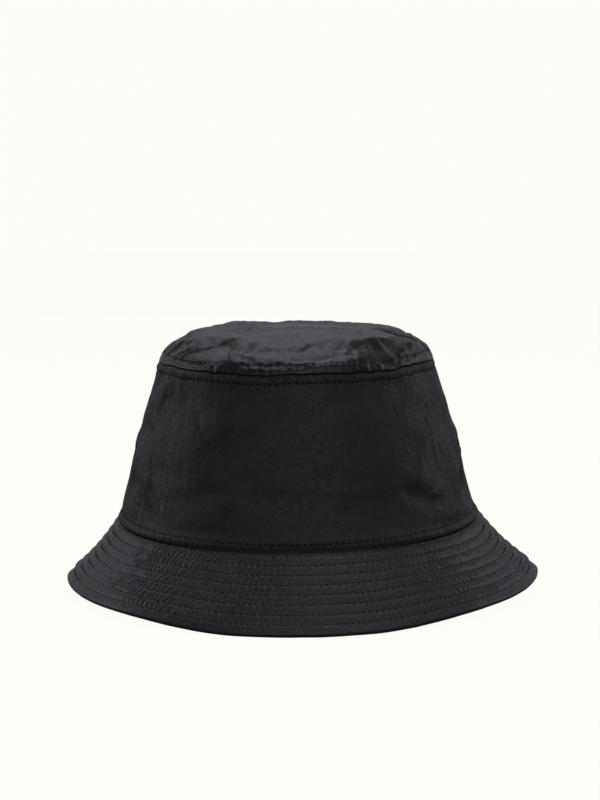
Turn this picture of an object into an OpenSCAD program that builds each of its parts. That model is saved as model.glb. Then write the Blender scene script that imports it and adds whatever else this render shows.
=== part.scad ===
// Bucket hat with a domed oval tip, a two-panel side band and a padded, row-stitched brim.
// Millimetres. +Z is up and -Y is the front. The origin is under the middle of the hat,
// in the plane that the brim's edge rests on.

/* [Crown] */
// Half width of the crown at the brim seam, along X
base_half_w = 89; // [84:0.5:94]
// Half depth of the crown at the brim seam, along Y
base_half_d = 106; // [101:0.5:112]
// Half width of the crown at the tip seam, along X
tip_half_w = 68; // [62:0.5:74]
// Half depth of the crown at the tip seam, along Y
tip_half_d = 82; // [76:0.5:88]
// Height of the side band, from the brim seam up to the tip seam
band_h = 78; // [72:1:90]
// Rise of the domed tip above its seam
tip_rise = 17; // [14:0.5:20]
// Thickness of one layer of the shell cloth
cloth_t = 0.9; // [0.7:0.05:0.95]

/* [Brim] */
// How far the brim reaches out at each side
side_reach = 28.5; // [25:0.5:34]
// How far the brim reaches out at the front and at the back
front_reach = 26; // [23:0.5:32]
// How far the brim falls at each side
side_fall = 27; // [24:0.5:28]
// How far the brim falls at the front and at the back
front_fall = 31; // [28:0.5:36]
// Part of the half width, at the front and the back, along which the edge lies on the ground
flat_share = 0.25; // [0.15:0.01:0.4]
// Part of the half width beyond which the edge has risen to its height at the sides
lifted_share = 0.75; // [0.6:0.01:0.9]
// How far the padded channels stand up between the stitch rows
puff_h = 0.7; // [0.4:0.1:1]

/* [Inside] */
// Height of the sweatband
sweatband_h = 28; // [22:1:32]
// Thickness of the sweatband
sweatband_t = 1.0; // [0.8:0.1:1.2]
// Thickness of the lining cloth
lining_t = 0.5; // [0.4:0.05:0.6]
// Width of the hanging care label
care_label_w = 20; // [14:1:22]
// Length of the hanging care label
care_label_h = 32; // [24:1:34]

/* [Eyelets] */
// Outer diameter of each stitched eyelet
eyelet_d = 7; // [6:0.5:8]
// Diameter of the hole through each eyelet
eyelet_hole_d = 3; // [2.5:0.1:3.2]
// Angle round the crown from the side seam to each eyelet
eyelet_turn = 12.2; // [9:0.1:15]
// Height of the eyelets above the brim seam
eyelet_h = 36.5; // [32:0.5:44]

/* [Hidden] */

// Angle between neighbouring sections round the hat. Every layer shares it, so that the
// facets of stacked layers stay parallel.
turn_step = 6;
half_turn = 180;
full_turn = 360;
front_angles = [for (t = [half_turn : turn_step : full_turn]) t];
back_angles = [for (t = [0 : turn_step : half_turn]) t];
// How far the brim's two side seams lie round from the crown's, counterclockwise from above
brim_seam_turn = 18;
brim_front_angles = [for (t = front_angles) t + brim_seam_turn];
brim_back_angles = [for (t = back_angles) t + brim_seam_turn];
all_angles = [for (t = [0 : turn_step : full_turn - turn_step]) t];

// Clearance between layers that are sewn together
layer_gap = 0.1;
// Height of the seam allowance that turns up inside the crown
allowance_h = 8;
allowance_t = 0.6;

// The brim is three layers: the top cloth, the stiff interlining and the underside cloth
interlining_t = 0.8;
top_under = cloth_t;
interlining_top = top_under + layer_gap;
interlining_under = interlining_top + interlining_t;
underside_top = interlining_under + layer_gap;
brim_t = underside_top + cloth_t;
// Where the inner layers stop short of the brim's rolled edge
inner_layers_end = 0.965;
inner_layer_cells = 5;
// Width of the band under the rolled edge that touches the ground
rest_w = 1.2;

// Stitch rows on the brim, as shares of the way from the seam to the edge
row_count = 8;
row_first = 0.039;
row_pitch = 0.121;
row_marks = [for (i = [0 : row_count - 1]) row_first + i * row_pitch];
// Points along one padded channel, between its two stitch rows
puff_steps = 3;
// Where the padded edge stands full, as shares of the way from the last row to the edge
edge_full = [0.3, 0.75];
// How far the rolled edge bulges, as a share of the brim's length
edge_bulge = 1.01;
// Where the inside of the rolled edge bends down, past the ends of the inner layers
edge_inner_bend = 0.25;

front_slant = norm([front_reach, front_fall]);
seam_z = layer_gap + front_fall + brim_t * front_reach / front_slant;
tip_z = seam_z + band_h + layer_gap;

thread_w = 0.4;
thread_t = 0.35;
thread_gap = 0.15;
// Distance from a seam to the topstitching beside it
topstitch_off = 4;
// Rings of the tip's dome, from its rim to its top
dome_rings = 7;
dome_step = 90 / dome_rings;

lining_inset = 1.9;
lining_in_face = lining_inset + lining_t;
sweatband_inset = lining_in_face + 0.5;
sweatband_in_face = sweatband_inset + sweatband_t;
sweatband_drop = 1;
// Clearance of the lining's ends from the seams
lining_end = 1;

eyelet_flange_t = 0.35;
eyelet_wall = 0.45;
eyelet_clear = 0.3;
eyelet_cut_depth = 3.6;

size_label_t = 0.3;
size_label_half_turn = 6;
size_label_low = 8;
size_label_h = 12;
care_label_t = 0.4;
// Height of the care label's sewn edge above the brim seam
care_label_up = 60;
care_label_clear = 1.6;
care_label_gap = 0.4;
// The bar of stitches that the care label hangs from
tack_w = 10;
tack_t = 0.6;
tack_reach = 0.8;

shell_colour = [0.13, 0.13, 0.14];
brim_colour = [0.17, 0.17, 0.18];
lining_colour = [0.10, 0.10, 0.11];
band_colour = [0.07, 0.07, 0.08];
stiffener_colour = [0.75, 0.75, 0.73];
label_colour = [0.85, 0.85, 0.83];
thread_colour = [0.05, 0.05, 0.06];

function mix(a, b, k) = a + (b - a) * k;
function reversed(list) = [for (i = [len(list) - 1 : -1 : 0]) list[i]];

// A point in plan on the oval w by d at angle t, moved inwards by inset
function oval_out(w, d, t) = let (n = [cos(t) / w, sin(t) / d]) n / norm(n);
function oval_pt(w, d, t, inset) = [w * cos(t), d * sin(t)] - inset * oval_out(w, d, t);

// A point on the side band, h above the brim seam
function band_pt(t, h, inset) =
    let (k = h / band_h)
    let (p = oval_pt(mix(base_half_w, tip_half_w, k), mix(base_half_d, tip_half_d, k), t, inset))
    [p.x, p.y, seam_z + h];

// A point on a dome that stands on the tip seam, e degrees up from its rim
function dome_pt(t, e, inset) = [
    (tip_half_w - inset) * cos(e) * cos(t),
    (tip_half_d - inset) * cos(e) * sin(t),
    tip_z + (tip_rise - inset) * sin(e)
];

// 0 along the stretches at the front and the back that lie on the ground, rising to 1 at the
// sides
function lift(t) =
    let (s = min(1, max(0, (abs(cos(t)) - flat_share) / (lifted_share - flat_share))))
    s * s * (3 - 2 * s);
function reach(t) = mix(front_reach, side_reach, lift(t));
function fall(t) = mix(front_fall, side_fall, lift(t));

// A point on the brim: u runs from 0 at the seam to 1 at the edge, and depth is measured
// squarely down from the top face at the stitch rows
function brim_pt(t, u, depth) =
    let (r = reach(t), f = fall(t), slant = norm([r, f]))
    let (p = oval_pt(base_half_w, base_half_d, t, depth * f / slant - u * r))
    [p.x, p.y, seam_z - layer_gap - u * f - depth * r / slant];

// A point on the flat band under the brim's edge
function rest_pt(t, inward) =
    let (r = reach(t), f = fall(t), slant = norm([r, f]))
    let (p = oval_pt(base_half_w, base_half_d, t, brim_t * f / slant - r + inward))
    [p.x, p.y, seam_z - layer_gap - f - brim_t * r / slant];

// A closed solid swept round the hat. outer and inner return a section's points at an
// angle, each from the top or the middle of the hat outwards. marks gives, for each inner
// point, the number of the outer point that it lies under. A ring has no ends.
module swept(angles, outer, inner, marks, ring = false) {
    rows = [for (t = angles) concat(outer(t), reversed(inner(t)))];
    m = len(rows[0]);
    n = len(rows);
    cells = len(marks) - 1;
    spans = ring ? n : n - 1;
    last = (n - 1) * m;
    // The under faces are split along the same diagonals as the outer ones, so that the
    // facets of neighbouring layers stay parallel
    under_first = len(outer(angles[0]));
    sides = [
        for (i = [0 : spans - 1], k = [0 : m - 1])
        let (a = i * m, b = ((i + 1) % n) * m, k2 = (k + 1) % m)
        each k < under_first
            ? [[a + k, b + k, b + k2], [a + k, b + k2, a + k2]]
            : [[a + k, b + k, a + k2], [b + k, b + k2, a + k2]]
    ];
    start = [
        for (c = [0 : cells - 1])
        let (under = m - 1 - c)
        each concat(
            [for (j = [marks[c] : marks[c + 1] - 1]) [under, j, j + 1]],
            [[under, marks[c + 1], under - 1]]
        )
    ];
    end = [for (f = start) [f[2] + last, f[1] + last, f[0] + last]];
    polyhedron(
        points = [for (row = rows) each row],
        faces = ring ? sides : concat(sides, start, end)
    );
}

// A plain layer of the side band between two heights and two insets
module band_layer(angles, low, high, out_inset, in_inset, ring = false) {
    swept(
        angles,
        function(t) [band_pt(t, high, out_inset), band_pt(t, low, out_inset)],
        function(t) [band_pt(t, high, in_inset), band_pt(t, low, in_inset)],
        [0, 1],
        ring
    );
}

// A plain layer of the brim between two depths. The brim twists on its way round, so a wide
// layer takes several cells from first to last, to stay clear of the layers beside it.
module brim_layer(angles, first, last, top, under, cells = 1, ring = false) {
    face = function(t, depth) [
        for (i = [0 : cells]) brim_pt(t, mix(first, last, i / cells), depth)
    ];
    swept(
        angles,
        function(t) face(t, top),
        function(t) face(t, under),
        [for (i = [0 : cells]) i],
        ring
    );
}

// A dome shell over the tip seam, from its rim up to a point at the top
module dome_shell(out_inset, in_inset) {
    n = len(all_angles);
    outer = [for (k = [0 : dome_rings - 1], t = all_angles) dome_pt(t, k * dome_step, out_inset)];
    inner = [for (k = [0 : dome_rings - 1], t = all_angles) dome_pt(t, k * dome_step, in_inset)];
    tops = [dome_pt(0, 90, out_inset), dome_pt(0, 90, in_inset)];
    inner_first = dome_rings * n;
    top_first = 2 * inner_first;
    last_ring = (dome_rings - 1) * n;
    walls = [
        for (k = [0 : dome_rings - 2], i = [0 : n - 1])
        let (i2 = (i + 1) % n, a = k * n, b = a + n)
        each [[a + i, b + i, b + i2], [a + i, b + i2, a + i2]]
    ];
    crown = [for (i = [0 : n - 1]) [last_ring + i, top_first, last_ring + (i + 1) % n]];
    skin = concat(walls, crown);
    lifted = function(v) v == top_first ? top_first + 1 : v + inner_first;
    underneath = [for (f = skin) [lifted(f[2]), lifted(f[1]), lifted(f[0])]];
    rim = [
        for (i = [0 : n - 1])
        let (i2 = (i + 1) % n, p = inner_first + i, q = inner_first + i2)
        each [[i, i2, q], [i, q, p]]
    ];
    polyhedron(points = concat(outer, inner, tops), faces = concat(skin, underneath, rim));
}

// One half of the brim's top cloth: the allowance inside the crown, the padded channels
// between the stitch rows, and the edge rolled under to the ground
module brim_top(angles) {
    last_row = row_marks[row_count - 1];
    channel = function(t, u, u2) [
        for (k = [1 : puff_steps])
        brim_pt(t, mix(u, u2, k / puff_steps), k < puff_steps ? -puff_h : 0)
    ];
    seam_out = function(t) [
        band_pt(t, allowance_h, cloth_t + layer_gap),
        band_pt(t, -layer_gap, cloth_t + layer_gap),
        brim_pt(t, 0, 0),
        brim_pt(t, row_marks[0], 0)
    ];
    seam_in = function(t) [
        band_pt(t, allowance_h, cloth_t + layer_gap + allowance_t),
        band_pt(t, -cloth_t, cloth_t + layer_gap + allowance_t),
        brim_pt(t, 0, top_under),
        brim_pt(t, row_marks[0], top_under)
    ];
    channels_out = function(t) [
        for (i = [1 : row_count - 1]) each channel(t, row_marks[i - 1], row_marks[i])
    ];
    channels_in = function(t) [for (i = [1 : row_count - 1]) brim_pt(t, row_marks[i], top_under)];
    edge_out = function(t) [
        brim_pt(t, mix(last_row, 1, edge_full[0]), -puff_h),
        brim_pt(t, mix(last_row, 1, edge_full[1]), -puff_h),
        brim_pt(t, 1, 0),
        brim_pt(t, edge_bulge, brim_t / 2),
        rest_pt(t, 0)
    ];
    edge_in = function(t) [
        brim_pt(t, mix(inner_layers_end, 1, edge_inner_bend), top_under),
        rest_pt(t, rest_w)
    ];
    seam_marks = [0, 1, 2, 3];
    channel_marks = [for (i = [1 : row_count - 1]) 3 + i * puff_steps];
    edge_mark = 3 + (row_count - 1) * puff_steps;
    swept(
        angles,
        function(t) concat(seam_out(t), channels_out(t), edge_out(t)),
        function(t) concat(seam_in(t), channels_in(t), edge_in(t)),
        concat(seam_marks, channel_marks, [edge_mark + 3, edge_mark + 5])
    );
}

// A continuous thread laid round the brim at a share u of the way out
module brim_thread(row) {
    half = thread_w / 2 / front_slant;
    u = row_marks[row - 1];
    color(thread_colour)
        brim_layer(
            all_angles, u - half, u + half, -thread_gap - thread_t, -thread_gap, ring = true
        );
}

// A continuous thread laid round the side band at height h, on the outside or the inside
module band_thread(h, out_inset) {
    color(thread_colour)
        band_layer(
            all_angles, h - thread_w / 2, h + thread_w / 2, out_inset, out_inset + thread_t, true
        );
}

// Places its children at an eyelet, with +Z out of the crown. side is 1 on the right and
// -1 on the left, and end is -1 towards the front and 1 towards the back.
module at_eyelet(side, end) {
    t = (side > 0 ? 0 : half_turn) + side * end * eyelet_turn;
    k = eyelet_h / band_h;
    n = oval_out(mix(base_half_w, tip_half_w, k), mix(base_half_d, tip_half_d, k), t);
    lean_in = [(base_half_w - tip_half_w) * cos(t), (base_half_d - tip_half_d) * sin(t)];
    lean = atan((n * lean_in) / band_h);
    translate(band_pt(t, eyelet_h, cloth_t / 2))
        rotate([0, 90 - lean, atan2(n.y, n.x)])
            children();
}

module eyelet(side, end) {
    hole_r = eyelet_hole_d / 2;
    flange_r = eyelet_d / 2;
    bottom = cloth_t / 2 + eyelet_clear;
    top = bottom + eyelet_flange_t;
    color(thread_colour)
        at_eyelet(side, end)
            rotate_extrude($fn = 32)
                polygon([
                    [hole_r, -top],
                    [flange_r, -top],
                    [flange_r, -bottom],
                    [hole_r + eyelet_wall, -bottom],
                    [hole_r + eyelet_wall, bottom],
                    [flange_r, bottom],
                    [hole_r + eyelet_wall, top],
                    [hole_r, top]
                ]);
}

module eyelet_cut(side, end) {
    at_eyelet(side, end)
        cylinder(
            r = eyelet_hole_d / 2 + eyelet_wall + eyelet_clear,
            h = eyelet_cut_depth,
            center = true,
            $fn = 32
        );
}

module crown_panel(angles, end) {
    color(shell_colour)
        difference() {
            band_layer(angles, 0, band_h, 0, cloth_t);
            eyelet_cut(1, end);
            eyelet_cut(-1, end);
        }
}

module crown_tip() {
    color(shell_colour) dome_shell(0, cloth_t);
}

module brim_cloth(angles) {
    color(brim_colour) brim_top(angles);
}

module brim_interlining() {
    color(stiffener_colour)
        brim_layer(
            all_angles, 0, inner_layers_end, interlining_top, interlining_under, inner_layer_cells,
            ring = true
        );
}

module brim_underside(angles) {
    color(brim_colour)
        brim_layer(angles, 0, inner_layers_end, underside_top, brim_t, inner_layer_cells);
}

module lining_tip() {
    color(lining_colour) dome_shell(lining_inset, lining_in_face);
}

module lining_panel(angles) {
    color(lining_colour)
        band_layer(angles, lining_end, band_h, lining_inset, lining_in_face);
}

module sweatband() {
    color(band_colour)
        band_layer(
            all_angles, -sweatband_drop, sweatband_h, sweatband_inset, sweatband_in_face, true
        );
}

module size_label() {
    angles = [for (k = [-1 : 1]) half_turn / 2 + k * size_label_half_turn];
    out_inset = sweatband_in_face + layer_gap;
    color(label_colour)
        band_layer(
            angles, size_label_low, size_label_low + size_label_h, out_inset, out_inset + size_label_t
        );
}

// The care label hangs from its top edge, behind the middle of the back lining
care_hinge = band_pt(half_turn / 2, care_label_up, lining_in_face + care_label_clear);

module care_label() {
    color(label_colour)
        translate(care_hinge - [care_label_w / 2, care_label_t / 2, care_label_h])
            cube([care_label_w, care_label_t, care_label_h]);
}

module care_label_tack() {
    color(thread_colour)
        translate(care_hinge + [-tack_w / 2, -care_label_t / 2, care_label_gap])
            cube([tack_w, tack_reach, tack_t]);
}

module tip_topstitch() {
    out = -thread_gap - thread_t;
    wide = thread_w * dome_step / topstitch_off / 2;
    color(thread_colour)
        swept(
            all_angles,
            function(t) [dome_pt(t, dome_step + wide, out), dome_pt(t, dome_step - wide, out)],
            function(t) [
                dome_pt(t, dome_step + wide, -thread_gap),
                dome_pt(t, dome_step - wide, -thread_gap)
            ],
            [0, 1],
            true
        );
}

crown_tip();
crown_panel(front_angles, -1);  // crown_front_panel
crown_panel(back_angles, 1);  // crown_back_panel
brim_cloth(brim_front_angles);  // brim_top_front
brim_cloth(brim_back_angles);  // brim_top_back
brim_interlining();
brim_underside(brim_front_angles);  // brim_underside_front
brim_underside(brim_back_angles);  // brim_underside_back
lining_tip();
lining_panel(front_angles);  // lining_front_panel
lining_panel(back_angles);  // lining_back_panel
sweatband();
size_label();
care_label();
care_label_tack();
eyelet(-1, -1);  // eyelet_front_left
eyelet(1, -1);  // eyelet_front_right
eyelet(-1, 1);  // eyelet_back_left
eyelet(1, 1);  // eyelet_back_right
tip_topstitch();
band_thread(band_h - topstitch_off, -thread_gap - thread_t);  // band_topstitch
band_thread(topstitch_off, -thread_gap - thread_t);  // crown_base_topstitch
band_thread(thread_w, sweatband_in_face + thread_gap);  // sweatband_topstitch
brim_thread(1);  // brim_stitch_row_1
brim_thread(2);  // brim_stitch_row_2
brim_thread(3);  // brim_stitch_row_3
brim_thread(4);  // brim_stitch_row_4
brim_thread(5);  // brim_stitch_row_5
brim_thread(6);  // brim_stitch_row_6
brim_thread(7);  // brim_stitch_row_7
brim_thread(8);  // brim_stitch_row_8
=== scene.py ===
"""Looks of the bucket hat: crinkled nylon crown, quilted brim, separate stitches, lining and sweatband.

Everything is in metres in the CAD frame: +Z up, -Y the front, X across. Turns are angles round the hat in
degrees, measured from the front and positive towards +X.
"""

import math

import bmesh
import bpy
import numpy as np
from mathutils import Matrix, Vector


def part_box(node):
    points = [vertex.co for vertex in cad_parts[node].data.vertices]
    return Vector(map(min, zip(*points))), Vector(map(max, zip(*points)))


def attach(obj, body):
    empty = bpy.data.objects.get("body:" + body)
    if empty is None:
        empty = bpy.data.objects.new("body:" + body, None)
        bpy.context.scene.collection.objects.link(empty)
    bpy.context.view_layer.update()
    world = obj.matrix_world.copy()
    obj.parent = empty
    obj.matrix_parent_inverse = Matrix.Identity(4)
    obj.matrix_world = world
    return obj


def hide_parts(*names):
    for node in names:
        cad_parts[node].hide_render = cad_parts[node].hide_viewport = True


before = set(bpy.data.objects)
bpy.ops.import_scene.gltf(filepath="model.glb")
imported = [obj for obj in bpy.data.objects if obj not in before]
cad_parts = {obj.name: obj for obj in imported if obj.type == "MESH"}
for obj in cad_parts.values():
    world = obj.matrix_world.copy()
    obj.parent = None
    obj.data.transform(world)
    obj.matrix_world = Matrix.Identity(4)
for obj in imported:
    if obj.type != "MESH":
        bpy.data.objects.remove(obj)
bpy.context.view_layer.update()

MM = 0.001

# ---------------------------------------------------------------- sizes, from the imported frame
band_low, band_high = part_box("crown_front_panel")
tip_low, tip_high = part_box("crown_tip")
care_low, care_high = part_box("care_label")

BASE_W, BASE_D = band_high.x, -band_low.y
TIP_W, TIP_D = tip_high.x, tip_high.y
SEAM_Z = band_low.z
BAND_H = band_high.z - SEAM_Z
TIP_Z = tip_low.z
TIP_RISE = tip_high.z - TIP_Z
SWEAT_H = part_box("sweatband")[1].z - SEAM_Z

# ---------------------------------------------------------------- sizes, as in part.scad
SIDE_REACH, FRONT_REACH = 28.5 * MM, 26 * MM
SIDE_FALL, FRONT_FALL = 27 * MM, 31 * MM
FLAT_SHARE, LIFTED_SHARE = 0.25, 0.75
LAYER_GAP = 0.1 * MM
ROW_COUNT = 8
# How far down the slant each stitch row lies, as a share of it
ROW_MARKS = [0.039 + i * 0.121 for i in range(ROW_COUNT)]
TOPSTITCH_OFF = 4 * MM
EYELET_H, EYELET_HOLE_R = 36.5 * MM, 1.5 * MM
EYELETS = {
    "eyelet_front_left": -90 + 12.2,
    "eyelet_front_right": 90 - 12.2,
    "eyelet_back_left": -90 - 12.2,
    "eyelet_back_right": 90 + 12.2,
}
BRIM_SEAM_TURN = 18
LINING_INSET = 1.9 * MM
SWEAT_INSET, SWEAT_T = 2.9 * MM, 1.0 * MM
SIZE_LABEL_HALF_TURN, SIZE_LABEL_LOW, SIZE_LABEL_H = 6, 8 * MM, 12 * MM

# ---------------------------------------------------------------- sizes of the looks
STITCH_PITCH = 2.95 * MM
THREAD_R, BAR_THREAD_R = 0.17 * MM, 0.2 * MM
# The radius of the bead of painted shade in each needle hole
HOLE_R = 0.48 * MM
# The cloth's dip at a needle hole: its depth, and its width along the row and across it
DIP_DEPTH, DIP_ALONG, DIP_ACROSS = 0.4 * MM, 0.55 * MM, 0.6 * MM
# The cloth's own width between two brim rows, a little more than the 4.9 mm that they are apart
CHANNEL_W = 5.2 * MM
CLOTH_INSET = 1.65 * MM
LINING_T = 0.3 * MM
# No dip goes deeper into the crown's cloth than this
DEEPEST = -1.2 * MM
ROW_SINK = 0.14 * MM
PUFF_H = 0.36 * MM
# Heights over the brim's middle surface: the underside's stitch rows, and the back of the top cloth
UNDER_ROWS, TOP_BACK = -1.9 * MM, -1.05 * MM
# The padded edge: its radius, the height of its middle, and how far in from the brim's edge that is
EDGE_R, EDGE_MID, EDGE_IN = 1.45 * MM, -1.33 * MM, 0.85 * MM
# The length of the tip's arc, from its top to its seam
TIP_ARC = 24 * MM
# The half width in degrees of the stretch at the front where the crown sags over the brim
FRONT_TURN = 48
COLUMNS_PER_DEGREE = 5
BACKDROP_COLOR = (0.985, 0.985, 0.94, 1)

rng = np.random.default_rng(7)
GRADIENTS = rng.uniform(0, 2 * np.pi, (256, 256))


def new_material(name, color, roughness, specular=0.5, sheen=0.0):
    material = bpy.data.materials.new(name)
    material.use_nodes = True
    tree = material.node_tree
    shader = tree.nodes["Principled BSDF"]
    shader.inputs["Base Color"].default_value = (*color, 1)
    shader.inputs["Roughness"].default_value = roughness
    shader.inputs["Specular IOR Level"].default_value = specular
    shader.inputs["Sheen Weight"].default_value = sheen
    shader.inputs["Sheen Roughness"].default_value = 0.4
    return material, tree, shader


def stage_piece(name, material, shape, **sizes):
    """A floor or backdrop that neither lights the hat nor shows in its gloss."""
    body = bmesh.new()
    shape(body, **sizes)
    mesh = bpy.data.meshes.new(name)
    body.to_mesh(mesh)
    body.free()
    mesh.materials.append(material)
    obj = bpy.data.objects.new(name, mesh)
    obj.visible_diffuse = obj.visible_glossy = False
    bpy.context.scene.collection.objects.link(obj)
    return obj


def camera_and_stage():
    """The camera at the photograph's angle, a pale floor, a plain backdrop and soft studio light."""
    scene = bpy.context.scene
    scene.view_settings.view_transform = "Standard"
    cam = bpy.data.cameras.new("camera")
    cam.sensor_fit, cam.sensor_width, cam.lens = "HORIZONTAL", 36, 109.38
    cam.clip_start, cam.clip_end = 0.05, 30
    eye = bpy.data.objects.new("camera", cam)
    # Found by matching the brim's and crown's edges with the photograph's
    eye.location = (0.0017, -0.9052, 0.1883)
    eye.rotation_mode = "ZYX"
    eye.rotation_euler = (math.radians(90 - 6.22), 0, math.radians(-0.81))
    scene.collection.objects.link(eye)
    scene.camera = eye

    world = bpy.data.worlds.new("studio")
    world.use_nodes = True
    sky = world.node_tree.nodes["Background"]
    sky.inputs["Color"].default_value = (1, 1, 0.985, 1)
    sky.inputs["Strength"].default_value = 0.05
    scene.world = world

    # The floor looks evenly lit, and sheds no light on the hat
    paint, _, shader = new_material("pale_floor", (0.04, 0.04, 0.039), 0.9, 0)
    shader.inputs["Emission Color"].default_value = BACKDROP_COLOR
    shader.inputs["Emission Strength"].default_value = 0.985
    floor = stage_piece("floor", paint, bmesh.ops.create_grid, x_segments=1, y_segments=1, size=6)

    # A white ball round the set. Only the camera sees it, so it lights nothing.
    white = bpy.data.materials.new("backdrop_white")
    white.use_nodes = True
    tree = white.node_tree
    tree.nodes.clear()
    glow = tree.nodes.new("ShaderNodeEmission")
    glow.inputs["Color"].default_value = BACKDROP_COLOR
    out = tree.nodes.new("ShaderNodeOutputMaterial")
    tree.links.new(glow.outputs[0], out.inputs["Surface"])
    dome = stage_piece("backdrop", white, bmesh.ops.create_uvsphere, u_segments=48, v_segments=24, radius=9)
    dome.visible_transmission = dome.visible_shadow = False

    middle = Vector((0, 0, 0.07))
    for name, place, size, power in (
        ("top_softbox", (-0.15, 0.9, 1.1), (1.0, 0.6), 2.2),
        ("left_softbox", (-1.3, 0.45, 0.5), (0.7, 1.0), 4.0),
        ("right_softbox", (1.3, 0.5, 0.5), (0.7, 1.0), 3.5),
        ("front_fill", (0.15, -1.7, 0.95), (3.2, 0.9), 14),
        ("overhead_softbox", (0.1, 0.1, 1.7), (1.8, 0.6), 8),
        ("back_panel", (0, 2.0, 0.6), (3.6, 1.6), 6),
    ):
        light = bpy.data.lights.new(name, "AREA")
        light.shape, light.size, light.size_y = "RECTANGLE", size[0], size[1]
        light.energy, light.color = power, (0.90, 0.92, 1.0)
        lamp = bpy.data.objects.new(name, light)
        lamp.location = place
        lamp.rotation_euler = (middle - Vector(place)).to_track_quat("-Z", "Y").to_euler()
        scene.collection.objects.link(lamp)


camera_and_stage()


# ---------------------------------------------------------------- noise and small helpers
def mix(a, b, k):
    return a + (b - a) * k


def smooth(x, low=0.0, high=1.0):
    k = np.clip((x - low) / (high - low), 0, 1)
    return k * k * (3 - 2 * k)


def bell(x, width):
    return np.exp(-((x / width) ** 2))


def noise(x, y, seed=0, wrap=256):
    """Gradient noise between about -1 and 1, repeating every wrap cells along x."""
    x, y = np.broadcast_arrays(np.asarray(x, float), np.asarray(y, float))
    xi, yi = np.floor(x).astype(int), np.floor(y).astype(int)
    fx, fy = x - xi, y - yi
    ux = fx * fx * fx * (fx * (fx * 6 - 15) + 10)
    uy = fy * fy * fy * (fy * (fy * 6 - 15) + 10)
    total = 0
    for dx in (0, 1):
        for dy in (0, 1):
            angle = GRADIENTS[((xi + dx) % wrap + 37 * seed) % 256, (yi + dy + 91 * seed) % 256]
            slope = np.cos(angle) * (fx - dx) + np.sin(angle) * (fy - dy)
            total += slope * (ux if dx else 1 - ux) * (uy if dy else 1 - uy)
    return 1.5 * total


def stacked(*arrays):
    return np.stack(np.broadcast_arrays(*arrays), -1)


def unit(vectors):
    return vectors / np.linalg.norm(vectors, axis=-1, keepdims=True)


def circle(angle, across, rise):
    return np.cos(angle)[..., None] * across + np.sin(angle)[..., None] * rise


# The crown's girth at its base
RING = 2 * np.pi * 95.5 * MM


def ring_noise(turn, size, y, seed):
    """Noise round the hat in cells about size long at the crown's base, with no join at the back."""
    cells = max(3, round(RING / size))
    return noise(np.asarray(turn) / 360 * cells, y, seed, cells)


def from_front(turn):
    """The same turn, between -180 and 180."""
    return (np.asarray(turn) + 180) % 360 - 180


def crease(value):
    """Turns noise into sharp crests, from -1 in the flats to 1 on a crest."""
    return 1 - 2 * np.abs(value)


# ---------------------------------------------------------------- surfaces
def oval(w, d, turn, out=0.0):
    """A point out metres outside the oval w by d."""
    a = np.radians(turn)
    x, y = np.sin(a), -np.cos(a)
    nx, ny = x / w, y / d
    length = np.hypot(nx, ny)
    return w * x + out * nx / length, d * y + out * ny / length


def stitch_table(path):
    """The number of stitches from the back to each turn, on a closed path of whole stitches."""
    turns = np.linspace(-180, 180, 1441)
    points = path(turns)
    length = np.concatenate([[0], np.cumsum(np.linalg.norm(np.diff(points, axis=0), axis=1))])
    count = round(length[-1] / STITCH_PITCH)
    return turns, length / length[-1] * count, count


def stitch_place(table, turn):
    turns, places, count = table
    turn = np.asarray(turn, float)
    laps = np.floor((turn + 180) / 360)
    return np.interp(turn - 360 * laps, turns, places) + laps * count


def needle_dips(table, turn):
    """How deep the cloth dips on a stitch row: most at each needle hole, and nothing between them."""
    place = stitch_place(table, turn)
    return DIP_DEPTH * bell((place - np.round(place)) * STITCH_PITCH, DIP_ALONG)


# ---------------------------------------------------------------- draped cloth
DRAPE_SCALE = 10
DRAPE_FRAMES = 40
DRAPE_BENDING = 0.25


def drape(points, faces, held, grow, pressure):
    """Settles a piece of cloth that is a little too large for its place, held along its seams.

    The simulation runs on a piece ten times the size, where Blender's cloth is steadier.
    """
    scene = bpy.context.scene
    mesh = bpy.data.meshes.new("drape")
    mesh.from_pydata((points * DRAPE_SCALE).tolist(), [], faces.tolist())
    obj = bpy.data.objects.new("drape", mesh)
    scene.collection.objects.link(obj)
    obj.vertex_groups.new(name="held").add(held.tolist(), 1.0, "REPLACE")
    cloth = obj.modifiers.new("cloth", "CLOTH")
    settings = cloth.settings
    settings.quality = 5
    settings.mass = 0.12
    settings.tension_stiffness = settings.compression_stiffness = 20
    settings.shear_stiffness = 12
    settings.tension_damping = settings.compression_damping = settings.shear_damping = 10
    settings.bending_stiffness = DRAPE_BENDING
    settings.bending_damping = 0.3
    settings.air_damping = 3
    settings.shrink_min = settings.shrink_max = -grow
    settings.vertex_group_mass = "held"
    settings.use_pressure = True
    settings.uniform_pressure_force = pressure
    settings.effector_weights.gravity = 0.02
    cloth.collision_settings.use_collision = False
    cloth.point_cache.frame_start, cloth.point_cache.frame_end = 1, DRAPE_FRAMES
    for moment in range(1, DRAPE_FRAMES + 1):
        scene.frame_set(moment)
    settled = obj.evaluated_get(bpy.context.evaluated_depsgraph_get()).to_mesh()
    result = np.empty(len(points) * 3, np.float32)
    settled.vertices.foreach_get("co", result)
    bpy.data.objects.remove(obj)
    scene.frame_set(1)
    return result.reshape(-1, 3) / DRAPE_SCALE


def stand_off(settled, base, out):
    """How far settled points stand off their base surface, about the middle value. out is 1 mm outwards."""
    off = ((settled.reshape(base.shape) - base) * out).sum(-1) / MM
    return off - np.median(off)


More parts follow.
